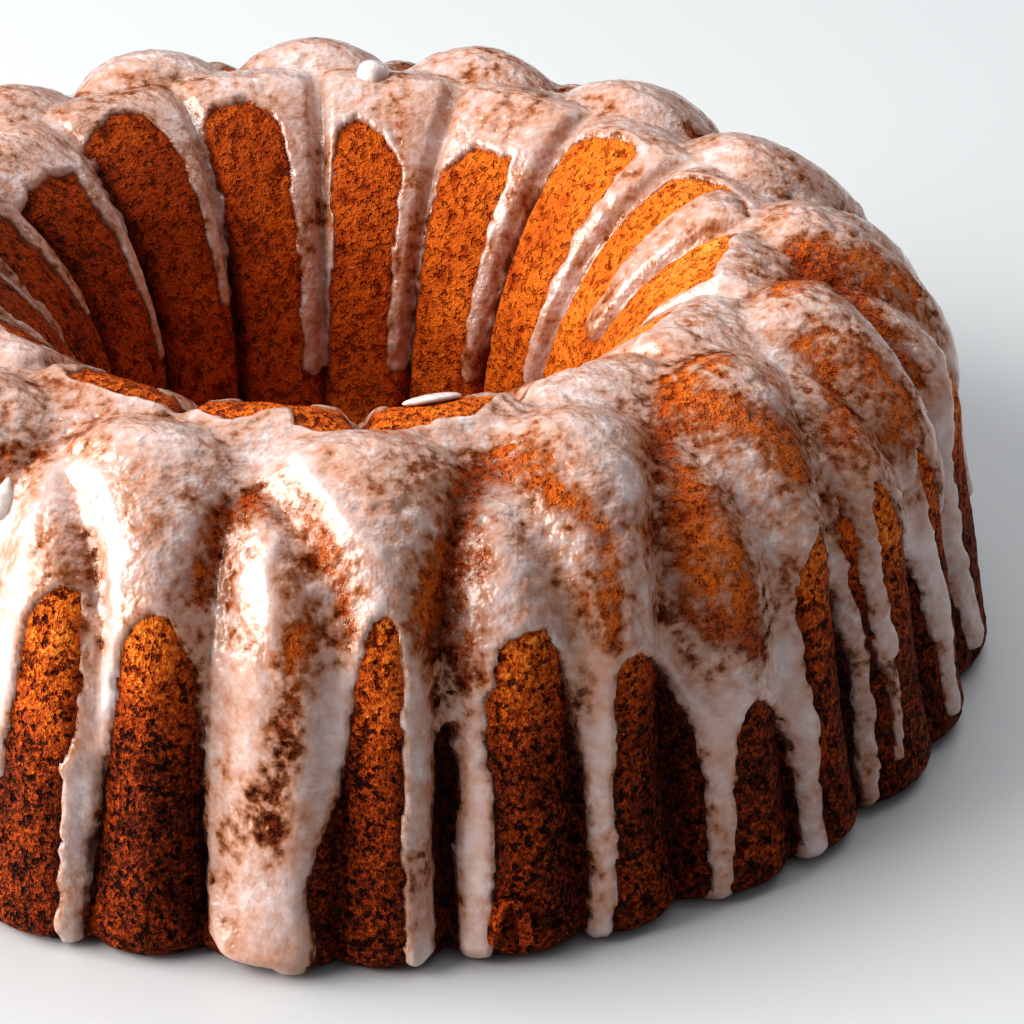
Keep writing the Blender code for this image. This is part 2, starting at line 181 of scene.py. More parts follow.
# Places where the glaze lies thin and the crust shows: share of the cover that is left, less
# THIN_LIFT, half width, then (angle, reach).
THIN_STROKES = (
    (0.10, 2.3, (-8.3, 89), (-9.7, 86), (-10.8, 81), (-11.2, 75.5), (-11.2, 70.5), (-11.2, 67)),
    (0.10, 3.0, (16.9, 96), (14.8, 91), (12.6, 85), (11.2, 79), (9.7, 73), (8.6, 67), (8.3, 61)),
    (0.38, 3.8, (9.4, 68), (10.1, 57), (10.4, 50)),
    (0.22, 3.6, (37.2, 93), (35.6, 87), (33.8, 80.5), (33.8, 74.5)),
    (0.35, 4.8, (32.8, 70), (32.8, 59), (33.5, 50)),
    (0.04, 3.9, (41, 97), (42.5, 90), (44.6, 83.5), (47, 77.5), (46, 73)),
    (0.25, 2.9, (18.6, 91), (22.3, 79), (23.8, 72), (23, 66), (22.7, 58)),
    (0.22, 2.7, (35.3, 66), (35.6, 55.5), (36.2, 46)),
    (0.30, 2.5, (-1.3, 79), (-0.4, 74), (1.1, 67), (1.4, 58)),
    (-0.1, 3.2, (-3.2, 60), (-3.2, 52), (-3.6, 43), (-4.3, 35.5), (-4.7, 31)),
    (0.35, 2.8, (-4.7, 31), (-5.0, 24), (-5.0, 19)),
    (0.30, 3.4, (-28.4, 95), (-31.7, 91), (-33.5, 85)),
    (0.42, 2.6, (-22.3, 74), (-20.9, 68.5), (-19.6, 61), (-19.2, 52), (-19.4, 45)),
    (0.40, 2.6, (-2.2, 84), (-5.5, 83)),
    (0.40, 2.0, (-8.4, 66), (-7.8, 59)),
    # This stroke also darkens the low sheet at the left front: thin glaze and painted shade.
    (0.40, 4.2, (-10.6, 52), (-9.4, 39), (-8.4, 25), (-7.5, 10)),
    (0.45, 5.0, (54, 79), (57, 71), (61, 66)),
    (0.20, 3.6, (62.6, 90), (60.8, 83), (57.6, 76)),
    (0.20, 3.0, (65.4, 80), (65.5, 73), (64.6, 67)),
    (0.30, 5.5, (84, 88), (87, 80), (87.5, 72)),
    (0.06, 4.4, (72, 99), (79, 97), (85, 94.5)),
    (0.30, 3.2, (49, 101), (51.5, 100)),
    (0.40, 2.2, (20, 50), (20.4, 42)),
    (0.55, 4.0, (28.5, 72), (29, 64), (30, 57)),
)
THIN_SEED = 21
# Streaks where it lies thick, laid where highlights fall: extra thickness, half width, then (angle,
# reach). They also raise the cover, which whitens them: thick glaze and painted highlight.
THICK_STROKES = (
    (0.5, 1.4, (-28.1, 86.5), (-27.4, 79.5), (-27.4, 73.5), (-26.6, 66.5)),
    (0.6, 1.3, (-26.3, 86.5), (-22.3, 84), (-19.8, 78), (-18.4, 70.5), (-17.6, 64), (-17.6, 55.5),
     (-17.9, 46)),
    (0.6, 1.4, (-4, 94.5), (-1.4, 87.5), (0.7, 81), (2.2, 77.5), (4, 74)),
    (0.5, 1.3, (-13.3, 79.5), (-12.2, 75.5)),
    (0.6, 1.4, (-5, 77.5), (-5.8, 72), (-5, 66), (-4.6, 60)),
    (0.5, 1.2, (3.6, 66.5), (2.8, 62.5), (2, 57.5)),
    (0.5, 1.5, (26.4, 63), (26.8, 55), (29, 47.5), (30, 42)),
    (0.4, 1.6, (14.8, 75.5), (15.5, 71.5), (14.4, 67)),
    (0.4, 1.6, (27.5, 83), (28, 78)),
)
# How a stroke fades sideways: height and width of its core and of the halo round it.
STROKE_CORE = (0.7, 1.0)
STROKE_HALO = (0.3, 2.3)

# Thickness of the glaze, how its edges are rounded, and how far it is sunk where there is none.
# A zone gives the two values between which something sets in.
SHEET_THICKNESS = 0.55
SHEET_ROUNDING = 1.6
RIM_EXTRA = 0.35
RIM_PLACE = 1.3
RIM_WIDTH = 1.1
RUN_THICKNESS = (0.6, 1.1)
RUN_THICKNESS_SHARE = 0.4
RUN_ROUNDING = (1.2, 2.2)
RUN_ROUNDING_SHARE = 0.7
RUN_CORNER = 2.6
RUN_RISE = 10
RUN_START_SHARE = 0.35
DROP_BACK = 2.5
DROP_LENGTH = 3.5
DROP_EXTRA = 0.5
HOLE_RUN_THICKNESS = 0.6
HOLE_RUN_ROUNDING = 1.8
BLEND = 0.3
BEYOND_EDGE_SLOPE = 0.9
DEEPEST = -5
SUNK = -1.4
THIN_SINK = 0.75
PRESENT_ZONE = (-0.2, 0.3)
FILL_MOST = 1.5
FILL_BLUR = 3
FILL_ZONE = (-0.6, 0.5)
SMOOTHING = 0.75
SMOOTHING_ZONE = (0.2, 1.1)
GLAZE_SETTLE = 0.25
CRUST_SETTLE = 0.3
CRUST_UNDER_GLAZE = 0.15

# Unevenness as (height, size of the lumps, seed): of the glaze's edges, its surface and the crust.
# Pits as (distance, seed, share of the places that have one).
EDGE_WOBBLE = ((0.5, 1.7, 31), (0.6, 4.5, 32))
GLAZE_LUMPS = ((0.05, 3.2, 33), (0.05, 1.5, 34), (0.10, 7.0, 35))
CRUST_LUMPS = ((0.16, 1.7, 51), (0.16, 3.4, 52), (0.12, 9.0, 53))
LARGE_PITS = (3.4, 61, 0.55)
SMALL_PITS = (2.0, 71, 0.5)
SMALL_PIT_SHARE = 0.75
PIT_DEPTH = 0.5
PIT_RIM = (0.3, 1.0)
PIT_SMALLEST = 0.22
PIT_SPREAD = 0.38
NO_PIT = 9.0

# How well the glaze covers: low on the wall, and what the crest, the hole and thick places add.
COVER_LOW = 0.52
COVER_ON_CREST = 0.08
COVER_CREST_ZONE = (50, 84)
COVER_IN_HOLE = -0.06
COVER_HOLE_ZONE = (96, 112)
COVER_WHERE_THICK = 0.28
COVER_THICK_ZONE = (0.65, 1.1)
# Cover added along the thick streaks: thick glaze and painted highlight.
COVER_ON_STROKE_AND_PAINTED_HIGHLIGHT = 0.5
THIN_LIFT = 0.23

# Beads of glaze: name, angle, reach, half width, half length and height, taper and lean. Their
# cover and thickness are those that the glaze has at its thickest.
BEADS = (
    ("glaze_bead_left", -32, 77.5, (2.4, 4.4, 1.7), 0.55, 10),
    ("glaze_bead_far", 174.2, 109.5, (3.3, 3.4, 2.9), 0.0, 0),
    ("glaze_bead_hole_edge", 13.7, 114.5, (5.2, 2.6, 1.0), 0.1, 4),
)
BEAD_COVER = 1.1
BEAD_THICKNESS = 3.0
BEAD_RAISED = 0.1
BEAD_TAPER_ZONE = (-0.4, 1.0)
BEAD_UNDERSIDE = 0.8
BEAD_WAVE = 0.06
# The curl of crust: its angle and reach, its bow in millimetres and degrees, and its strip.
FLAKE_SPOT = (13.2, 9)
FLAKE_WIDTH = 2.7
FLAKE_HEIGHT = 6.4
FLAKE_TURN = 200
FLAKE_LEAD = 10
FLAKE_FACING = (25, 30)
FLAKE_BREADTH = 1.3
FLAKE_THICKNESS = 0.9
FLAKE_VALUES = (("ridge", 0.9), ("hollow", 0.0), ("wet", 0.0), ("reach", 0.03))

# The crust's material. Where its values set in: the depth of a full valley, the glaze's thickness
# over wet crust, and the reaches in metres up the wall and into the hole.
VALLEY_DEPTH = 6.5
WET_ZONE = (-1.2, 0.1)
HIGH_ON_WALL = (0.028, 0.066)
INTO_HOLE = (0.096, 0.125)
# Its tone is 0 where it is near black and 1 where it is palest: the tone low in a valley, and what is
# added or taken away, among them painted shade in valleys, pits, pores and the hole. In the hole it
# is lighter towards +X, by this much for each metre, which is painted light and painted shade.
TONE = 0.13
# Ridges lighter than valleys: painted shade in the valleys.
VALLEY_PAINTED_SHADE = 0.20
WALL_TOP_LIGHTER = 0.42
# Darker in the hole: painted shade.
HOLE_PAINTED_SHADE = 0.16
# Lighter towards +X in the hole, darker towards -X: painted light and painted shade.
HOLE_SIDE_PAINTED_LIGHT = 2.6
WET_DARKER = 0.07
# Darker in pits: painted shade.
PIT_PAINTED_SHADE = 0.16
WET_SMOOTHER = 0.6
HOLE_SMOOTHER = 0.7
BLOTCH_CONTRAST = 0.4
GRAIN_CONTRAST = 1.15
# Darker in the pores: painted shade.
PORE_PAINTED_SHADE = 0.3
CRUST_COLOURS = (
    (0.0, (0.025, 0.005, 0.002)),
    (0.25, (0.130, 0.022, 0.005)),
    (0.5, (0.43, 0.080, 0.010)),
    (0.75, (0.80, 0.23, 0.028)),
    (1.0, (0.97, 0.50, 0.14)),
)
BLOTCH_SCALE = 80
PORE_SCALE = 640
GRAIN_SCALE = 1250
CRUST_BUMP = (0.95, 0.0011)

# The glaze's material. Its colour and its see-through follow the amount of glaze, which is its
# cover with clouds and a mottle of crumb; a body of thick glaze has less of that mottle.
BODY_ZONE = (0.35, 1.1)
MOTTLE_LEFT = 1.2
COVER_CALMS = 0.8
BODY_CALMS = 0.3
CLOUD_CONTRAST = 0.9
MOTTLE_CONTRAST = 1.7
EDGE_ZONE = (0.0, 0.45)
EDGE_COVER = 0.3
OPAQUE_AMOUNT = 0.5
OPAQUE_MOST = 0.92
GLAZE_COLOURS = (
    (0.05, (0.42, 0.12, 0.03)),
    (0.3, (0.50, 0.21, 0.10)),
    (0.55, (0.57, 0.34, 0.26)),
    (0.8, (0.66, 0.49, 0.45)),
    (1.0, (0.78, 0.67, 0.64)),
)
CLOUD_SCALE = 100
MOTTLE_SCALE = 420
CLUMP_SCALE = 820
GLAZE_BUMP = (0.5, 0.0009)

# The floor: its size in metres and its two colours.
FLOOR_SIZE = 8.0
FLOOR_CLOUD_SCALE = 3
FLOOR_COLOURS = ((0.60, 0.62, 0.63, 1.0), (0.65, 0.66, 0.67, 1.0))

# The camera that the outline in the photograph gives, and the light. Lamps: name, place, target,
# size, power in watts and colour.
IMAGE_SIZE = 1024
SENSOR = 36
FOCAL_PIXELS = 3352
CAMERA_PLACE = (0.0, -0.55488, 0.32762)
CAMERA_TURN = (60.71418, -1.66673, -2.55933)
LAMPS = (
    ("window", (-1.2, -0.14, 0.62), (0, 0, 0.04), 1.25, 32, (1.0, 0.98, 0.95)),
    ("ceiling", (0.3, 0.75, 1.5), (0.05, 0.0, 0.0), 1.8, 12, (1.0, 1.0, 1.0)),
)
WORLD_COLOUR = (0.93, 0.96, 1.0, 1.0)
WORLD_STRENGTH = 0.24


def ease(value, start, end):
    """Rise smoothly from 0 at start to 1 at end."""
    t = np.clip((value - start) / (end - start), 0.0, 1.0)
    return t * t * (3 - 2 * t)


def section_outline(points=48):
    """Fine outline of the section from the outer edge of the base to the hole's lower edge."""
    quarter = np.linspace(0, math.pi / 2, points + 1)
    corner = np.stack(
        (
            BASE_RADIUS - BASE_ROUNDING * (1 - np.sin(quarter)),
            BASE_ROUNDING * (1 - np.cos(quarter)),
        ),
        axis=1,
    )
    bulge = 2 / SHOULDER_POWER
    turn = quarter[:-1]
    shoulder = np.stack(
        (
            CREST_RADIUS + (WALL_TOP_RADIUS - CREST_RADIUS) * np.cos(turn) ** bulge,
            WALL_TOP_HEIGHT + (HEIGHT - WALL_TOP_HEIGHT) * np.sin(turn) ** bulge,
        ),
        axis=1,
    )
    throat = np.stack(
        (
            CREST_RADIUS - (CREST_RADIUS - THROAT_RADIUS) * np.sin(quarter),
            THROAT_HEIGHT + (HEIGHT - THROAT_HEIGHT) * np.cos(quarter),
        ),
        axis=1,
    )
    return np.concatenate((corner, shoulder, throat, [(HOLE_RADIUS, 0.0)]))


OUTLINE = section_outline()
OUTLINE_REACH = np.concatenate(([0.0], np.cumsum(np.hypot(*np.diff(OUTLINE, axis=0).T))))
END_REACH = float(OUTLINE_REACH[-1])
ANGLES = np.arange(STEPS) * 360.0 / STEPS


def section_at(reach):
    """Radius and height at a reach."""
    return (
        np.interp(reach, OUTLINE_REACH, OUTLINE[:, 0]),
        np.interp(reach, OUTLINE_REACH, OUTLINE[:, 1]),
    )


def section_normal(reach):
    """Outward direction at a reach, turned level near the base: radial and upward shares."""
    ahead = section_at(np.minimum(reach + NORMAL_STEP, END_REACH))
    behind = section_at(np.maximum(reach - NORMAL_STEP, 0.0))
    radial = ahead[1] - behind[1]
    upward = behind[0] - ahead[0]
    size = np.hypot(radial, upward)
    radial = radial / size
    upward = upward / size * ease(section_at(reach)[1], 0.0, 3 * BASE_ROUNDING)
    size = np.hypot(radial, upward)
    return radial / size, upward / size


def around(front_angles):
    """Angles of all the flutes: the ones in front as seen, the hidden ones evenly spaced."""
    hidden = FLUTES - len(front_angles) + 1
    step = (front_angles[0] + 360 - front_angles[-1]) / hidden
    return list(front_angles) + [front_angles[-1] + step * i for i in range(1, hidden)]


CREST_ANGLES = around(CREST_VALLEYS_IN_FRONT)
WALL_ANGLES = around(WALL_RIDGES_IN_FRONT)


def flute_lines(reach):
    """Angles and depths of all ridge and valley lines at one reach."""
    up = min(max((reach - WALL_ZONE[0]) / (WALL_ZONE[1] - WALL_ZONE[0]), 0.0), 1.0) ** 2
    inside = float(ease(reach, *HOLE_ZONE))
    weights = ((1 - up), up * (1 - inside), up * inside)
    foot = FOOT_SHARE + (1 - FOOT_SHARE) * float(ease(reach, *FOOT_ZONE))
    foot *= 1 - (1 - FOOT_SHARE) * float(ease(reach, END_REACH - HOLE_FOOT, END_REACH))
    lines = []
    for index in range(FLUTES):
        after = (index + 1) % FLUTES
        turn = 360 if after == 0 else 0
        wall_width = WALL_ANGLES[after] + turn - WALL_ANGLES[index]
        crest_width = CREST_ANGLES[after] + turn - CREST_ANGLES[index]
        for wall, crest, hole in FLUTE_LINES:
            places = (
                WALL_ANGLES[index] + wall[0] * wall_width,
                CREST_ANGLES[index] + crest[0] * crest_width,
                CREST_ANGLES[index] + hole[0] * crest_width,
            )
            angle = sum(w * place for w, place in zip(weights, places))
            depth = sum(w * zone[1] for w, zone in zip(weights, (wall, crest, hole)))
            lines.append((angle, depth * foot))
    return lines


def flute_grid(reaches):
    """Depth below the ridge tops, rounded over ridges and sharp in valleys."""
    rows = []
    for reach in reaches:
        lines = flute_lines(reach)
        place = np.array([line[0] for line in lines] + [lines[0][0] + 360])
        depth = np.array([line[1] for line in lines] + [lines[0][1]])
        angle = place[0] + (ANGLES - place[0]) % 360
        right = np.clip(np.searchsorted(place, angle), 1, len(place) - 1)
        left = right - 1
        share = (angle - place[left]) / (place[right] - place[left])
        deep = np.maximum(depth[left], depth[right])
        high = np.minimum(depth[left], depth[right])
        from_valley = np.where(depth[left] >= depth[right], share, 1 - share)
        rise = np.sin(np.clip(from_valley, 0, 1) * math.pi / 2) ** RIDGE_ROUNDNESS
        rows.append(deep + (high - deep) * rise)
    return np.array(rows)


def wave_grid(reaches):
    """Slow unevenness of the surface, drawn as in the part's source."""
    draw = random.Random(WAVE_SEED)
    waves = [
        (draw.randint(2, 13), draw.uniform(20, 75), draw.uniform(0, math.tau))
        for _ in range(WAVES)
    ]
    turn = np.radians(ANGLES)[None, :]
    along = np.asarray(reaches)[:, None] * MM
    total = sum(np.sin(count * turn + along * pitch + phase) for count, pitch, phase in waves)
    return WAVE_HEIGHT * (1 + total / WAVES)


def place_grid(reaches, out):
    """Points of the surface, raised by out along the section's normal, in millimetres."""
    reaches = np.asarray(reaches)
    radius, height = section_at(reaches)
    radial, upward = section_normal(reaches)
    turn = np.radians(ANGLES)[None, :]
    wide = radius[:, None] + radial[:, None] * out
    high = height[:, None] + upward[:, None] * out
    return np.stack((wide * np.sin(turn), -wide * np.cos(turn), high), axis=2)


def scatter(cells, seed):
    """A number from 0 to 1 for each whole-numbered cell."""
    mixed = cells[..., 0].astype(np.uint32) * np.uint32(73856093)
    mixed ^= cells[..., 1].astype(np.uint32) * np.uint32(19349663)
    mixed ^= cells[..., 2].astype(np.uint32) * np.uint32(83492791)
    mixed ^= np.uint32((seed * 2654435761) % 4294967296)
    mixed ^= mixed >> np.uint32(13)
    mixed *= np.uint32(1540483477)
    mixed ^= mixed >> np.uint32(15)
    mixed *= np.uint32(2246822519)
    mixed ^= mixed >> np.uint32(13)
    return mixed.astype(float) / 4294967296


def soft_noise(points, size, seed):
    """Smooth noise from -1 to 1 with lumps of about the given size."""
    spots = points / size
    cells = np.floor(spots).astype(np.int64)
    inside = spots - cells
    inside = inside * inside * (3 - 2 * inside)
    total = 0.0
    for corner in np.ndindex(2, 2, 2):
        step = np.array(corner)
        weight = np.prod(np.where(step == 1, inside, 1 - inside), axis=-1)
        total = total + weight * scatter(cells + step, seed)
    return total * 2 - 1


def lumps(points, layers):
    """Several layers of smooth noise: height, size and seed of each."""
    return sum(height * soft_noise(points, size, seed) for height, size, seed in layers)


def pit_noise(points, size, seed, share):
    """Distance to the nearest of scattered pits, as a share of the pit's own size."""
    spots = points / size
    cells = np.floor(spots).astype(np.int64)
    nearest = np.full(points.shape[:-1], NO_PIT)
    for corner in np.ndindex(3, 3, 3):
        near = cells + (np.array(corner) - 1)
        centre = np.stack([scatter(near, seed + axis) for axis in range(3)], axis=-1) + near
        reach = PIT_SMALLEST + PIT_SPREAD * scatter(near, seed + 3)
        away = np.sqrt(np.sum((centre - spots) ** 2, axis=-1)) / reach
        away = np.where(scatter(near, seed + 4) < share, away, NO_PIT)
        nearest = np.minimum(nearest, away)
    return nearest


def turn_between(angles, middle):
    """Angles measured from a middle, from -180 to 180."""
    return (angles - middle + 180) % 360 - 180


def degree_length(reaches):
    """Millimetres round the cake for one degree, at each reach."""
    return section_at(np.asarray(reaches))[0] * math.pi / 180


def run_grid(run, reaches, inward):
    """Distance inside a run's edge, and how thick the run is there."""
    reaches = np.asarray(reaches, float)
    table = np.array(sorted(run))
    left = np.interp(reaches, table[:, 0], table[:, 1])
    right = np.interp(reaches, table[:, 0], table[:, 2])
    length = degree_length(reaches)
    half = (right - left) / 2 * length
    across = np.abs(turn_between(ANGLES[None, :], ((left + right) / 2)[:, None]))
    across = across * length[:, None]
    start, end = run[0][0], run[-1][0]
    end_half = float(np.interp(end, reaches, half))
    corner = min(end_half, RUN_CORNER)
    past = (reaches - end if inward else end - reaches) + corner
    before = start - reaches if inward else reaches - start
    along = np.maximum(past, before)[:, None]
    sideways = across - np.maximum(half - corner, 0)[:, None]
    outside = np.hypot(np.maximum(sideways, 0), np.maximum(along, 0))
    inside = np.minimum(np.maximum(sideways, along), 0)
    near_end = np.exp(-(((np.abs(reaches - end) - DROP_BACK) / DROP_LENGTH) ** 2))
    from_start = ease(np.abs(reaches - start), 0, RUN_RISE)
    from_start = RUN_START_SHARE + (1 - RUN_START_SHARE) * from_start
    thick = np.clip(RUN_THICKNESS_SHARE * half, *RUN_THICKNESS)
    thick = thick * (1 + DROP_EXTRA * near_end) * from_start
    return corner - outside - inside, thick[:, None], half[:, None]


def height_from_edge(distance, thick, rounding):
    """Rounded edge of a liquid: thick well inside, falling steeply at the edge and sunk beyond it."""
    inside = np.clip(distance / rounding, 0, 1)
    over = thick * np.sqrt(1 - (1 - inside) ** 2)
    return np.where(distance > 0, over, np.maximum(distance * BEYOND_EDGE_SLOPE, DEEPEST))


def stroke_grid(points, reaches, half_width):
    """1 on a line over the surface, fading out over its half width."""
    reaches = np.asarray(reaches, float)
    length = degree_length(reaches)
    best = np.full((len(reaches), STEPS), 1e9)
    pairs = list(zip(points, points[1:]))
    for (angle, reach), (next_angle, next_reach) in pairs:
        scale = float(degree_length([(reach + next_reach) / 2])[0])
        dx = (next_angle - angle) * scale
        dy = next_reach - reach
        px = turn_between(ANGLES[None, :], angle) * length[:, None]
        py = (reaches - reach)[:, None]
        share = np.clip((px * dx + py * dy) / (dx * dx + dy * dy), 0, 1)
        best = np.minimum(best, (px - share * dx) ** 2 + (py - share * dy) ** 2)
    fades = (
        height * np.exp(-best / (width * half_width) ** 2)
        for height, width in (STROKE_CORE, STROKE_HALO)
    )
    return sum(fades)


def hidden_runs():
    """Runs round the back of the wall, some short and some long, at the places that the part's
    source draws, with wider tops."""
    draw = random.Random(RUN_SEED)
    runs = []
    angle = HIDDEN_WALL[0]
    while angle < HIDDEN_WALL[1]:
        lean = draw.uniform(*HIDDEN_RUN_LEAN)
        end = draw.choice(HIDDEN_RUN_ENDS)
        half = draw.uniform(*HIDDEN_RUN_WIDTH) / 2 / WALL_DEGREE
        middle = (HIDDEN_RUN_REACH + end) / 2
        run = [
            (HIDDEN_RUN_REACH - down, angle - left * half, angle + right * half)
            for down, left, right in HIDDEN_RUN_FUNNEL
        ]
        for reach in (min(middle, HIDDEN_RUN_REACH - HIDDEN_RUN_MIDDLE), end):
            run.append((reach, angle + lean - half, angle + lean + half))
        runs.append(run)
        angle += HIDDEN_RUN_STEP + draw.uniform(-HIDDEN_RUN_SPREAD, HIDDEN_RUN_SPREAD)
    return runs


def hole_runs():
    """Runs down the grooves of the hole, one in each."""
    draw = random.Random(RUN_SEED + 1)
    runs = []
    for index, angle in enumerate(CREST_ANGLES):
        following = CREST_ANGLES[(index + 1) % FLUTES] + (360 if index == FLUTES - 1 else 0)
        groove = (angle + following) / 2 + draw.uniform(*HOLE_RUN_SHIFT)
        end = draw.uniform(*HOLE_RUN_END)
        half = draw.uniform(*HOLE_RUN_WIDTH) / 2 / HOLE_DEGREE
        groove += HOLE_RUN_TURN if HOLE_TURNED[0] < groove < HOLE_TURNED[1] else 0
        in_front = abs(turn_between(groove, 0)) < HOLE_FRONT
        start = HOLE_RUN_START_IN_FRONT if in_front else HOLE_RUN_START
        reaches = (start, start + HOLE_RUN_FUNNEL, HOLE_RUN_MIDDLE, end)
        runs.append(
            [
                (reach, groove - share * half, groove + share * half)
                for reach, share in zip(reaches, HOLE_RUN_SHARES)
            ]
        )
    return runs


def edge_round(table, hidden, seed, spread):
    """Reach of an edge at every step: as traced in front, wavy on the hidden side."""
    draw = random.Random(seed)
    points = list(table)
    angle = table[-1][0] + EDGE_GAP
    while angle < table[0][0] + 360 - EDGE_GAP:
        points.append((angle, hidden + draw.uniform(-spread, spread)))
        angle += draw.uniform(*EDGE_STEP)
    places = np.array([p[0] for p in points] + [table[0][0] + 360])
    values = np.array([p[1] for p in points] + [table[0][1]], float)
    turned = places[0] + (ANGLES - places[0]) % 360
    return np.interp(turned, places, values)


def hidden_thin_strokes():
    """Thin glaze along the valleys of the hidden side, and odd bare patches on its lobes."""
    draw = random.Random(THIN_SEED)
    strokes = []
    for valley in CREST_ANGLES[len(CREST_VALLEYS_IN_FRONT):]:
        cover = draw.uniform(0.08, 0.3)
        path = ((valley + 0.5, 91), (valley - 2.5, 84), (valley - 5, 76), (valley - 7, 67))
        strokes.append((cover, 2.6, *path))
        cover = draw.uniform(0.3, 0.5)
        strokes.append((cover, 3.0, (valley + 2, 80), (valley + 4, 70), (valley + 5, 62)))
        middle = valley + draw.uniform(6, 15)
        reach = draw.uniform(72, 88)
        strokes.append((0.2, draw.uniform(2.5, 5), (middle, reach), (middle + 2, reach - 7)))
    return strokes


def glaze_grids(reaches):
    """Flutes, waves and points of the surface, and the glaze's thickness, cover and presence."""
    flutes = flute_grid(reaches)
    waves = wave_grid(reaches)
    points = place_grid(reaches, -flutes - waves)
    wobble = lumps(points, EDGE_WOBBLE)
    column = np.asarray(reaches)[:, None]
    lower = edge_round(CAP_LOWER_EDGE, *HIDDEN_LOWER_EDGE)[None, :]
    upper = edge_round(CAP_HOLE_EDGE, *HIDDEN_HOLE_EDGE)[None, :]
    cap = np.minimum(column - lower, upper - column) + wobble
    rim = RIM_EXTRA * np.exp(-(((cap - RIM_PLACE) / RIM_WIDTH) ** 2))
    layers = [height_from_edge(cap, SHEET_THICKNESS + rim, SHEET_ROUNDING)]
    for run in list(FRONT_RUNS) + hidden_runs():
        distance, thick, half = run_grid(run, reaches, False)
        rounding = np.clip(RUN_ROUNDING_SHARE * half, *RUN_ROUNDING)
        layers.append(height_from_edge(distance + wobble, thick, rounding))
    for run in hole_runs():
        distance, _, _ = run_grid(run, reaches, True)
        layers.append(height_from_edge(distance + wobble, HOLE_RUN_THICKNESS, HOLE_RUN_ROUNDING))
    thickness = BLEND * np.log(sum(np.exp(layer / BLEND) for layer in layers))
    cover = COVER_LOW + COVER_ON_CREST * ease(column, *COVER_CREST_ZONE)
    cover = cover + COVER_IN_HOLE * ease(column, *COVER_HOLE_ZONE)
    cover = cover + COVER_WHERE_THICK * ease(thickness, *COVER_THICK_ZONE)
    thin = np.ones_like(cap)
    for left, half_width, *path in list(THIN_STROKES) + hidden_thin_strokes():
        stroke = stroke_grid(path, reaches, half_width)
        thin *= 1 - (1 - THIN_LIFT - left) * stroke
    raised = np.zeros_like(cap)
    for extra, half_width, *path in THICK_STROKES:
        raised = np.maximum(raised, extra * stroke_grid(path, reaches, half_width))
    present = ease(thickness, *PRESENT_ZONE)
    thickness = thickness - present * (1 - thin) * THIN_SINK + present * raised
    thickness += present * lumps(points, GLAZE_LUMPS)
    # Cover raised along the thick streaks: thick glaze and painted highlight.
    cover = np.clip(cover * thin + COVER_ON_STROKE_AND_PAINTED_HIGHLIGHT * raised, 0, 1)
    return flutes, waves, points, np.maximum(thickness, SUNK), cover, present


def blur_round(grid, reach_steps):
    """Average over neighbouring steps round the ring."""
    total = grid.copy()
    for step in range(1, reach_steps + 1):
        total = total + np.roll(grid, step, axis=1) + np.roll(grid, -step, axis=1)
    return total / (2 * reach_steps + 1)


def crust_relief(points):
    """Crumb of the crust: lumps and pits, in millimetres, and how deep in a pit each point is."""
    large = 1 - ease(pit_noise(points, *LARGE_PITS), *PIT_RIM)
    small = 1 - ease(pit_noise(points, *SMALL_PITS), *PIT_RIM)
    hollow = np.maximum(large, SMALL_PIT_SHARE * small)
    return lumps(points, CRUST_LUMPS) - PIT_DEPTH * hollow, hollow


def select_nothing():
    """Deselect every object."""
    bpy.ops.object.select_all(action="DESELECT")


def turned_piece(name, loop):
    """A closed section of a ring, turned once round the Z axis."""
    select_nothing()
    bpy.ops.mesh.primitive_circle_add(vertices=len(loop), radius=0.1)
    piece = bpy.context.active_object
    piece.name = name
    piece.data.name = name
    for point, (radius, height) in zip(piece.data.vertices, loop):
        point.co = (0.0, -radius * MM, height * MM)
    turn = piece.modifiers.new("turn", "SCREW")
    turn.steps = STEPS
    turn.render_steps = STEPS
    turn.use_merge_vertices = True
    turn.merge_threshold = MERGE_DISTANCE
    bpy.ops.object.modifier_apply(modifier="turn")
    return piece


def rows_and_steps(piece, loop):
    """Which point of the loop, and which step round the ring, each vertex of a turned piece is."""
    places = np.empty(len(piece.data.vertices) * 3)
    piece.data.vertices.foreach_get("co", places)
    places = places.reshape(-1, 3) / MM
    radius = np.hypot(places[:, 0], places[:, 1])
    shape = np.array(loop)
    away = (radius[:, None] - shape[None, :, 0]) ** 2
    away += (places[:, 2][:, None] - shape[None, :, 1]) ** 2
    rows = np.argmin(away, axis=1)
    turn = np.degrees(np.arctan2(places[:, 0], -places[:, 1]))
    steps = np.round(turn / (360 / STEPS)).astype(int) % STEPS
    return rows, steps


def add_values(piece, name, values):
    """Store one number for each vertex."""
    layer = piece.data.attributes.new(name, "FLOAT", "POINT")
    layer.data.foreach_set("value", values.astype(np.float32))


def surface_normals(grid):
    """Outward normals of a grid of points, by central differences."""
    round_it = np.roll(grid, -1, axis=1) - np.roll(grid, 1, axis=1)
    along = np.gradient(grid, axis=0)
    normal = np.cross(round_it, along)
    return normal / np.linalg.norm(normal, axis=2, keepdims=True)


def inner_reaches(first, last):
    """Reaches of the hidden inner side of a piece, from its last row back to its first."""
    count = max(2, round(abs(last - first) / INNER_STEP) + 1)
    return np.linspace(last, first, count)


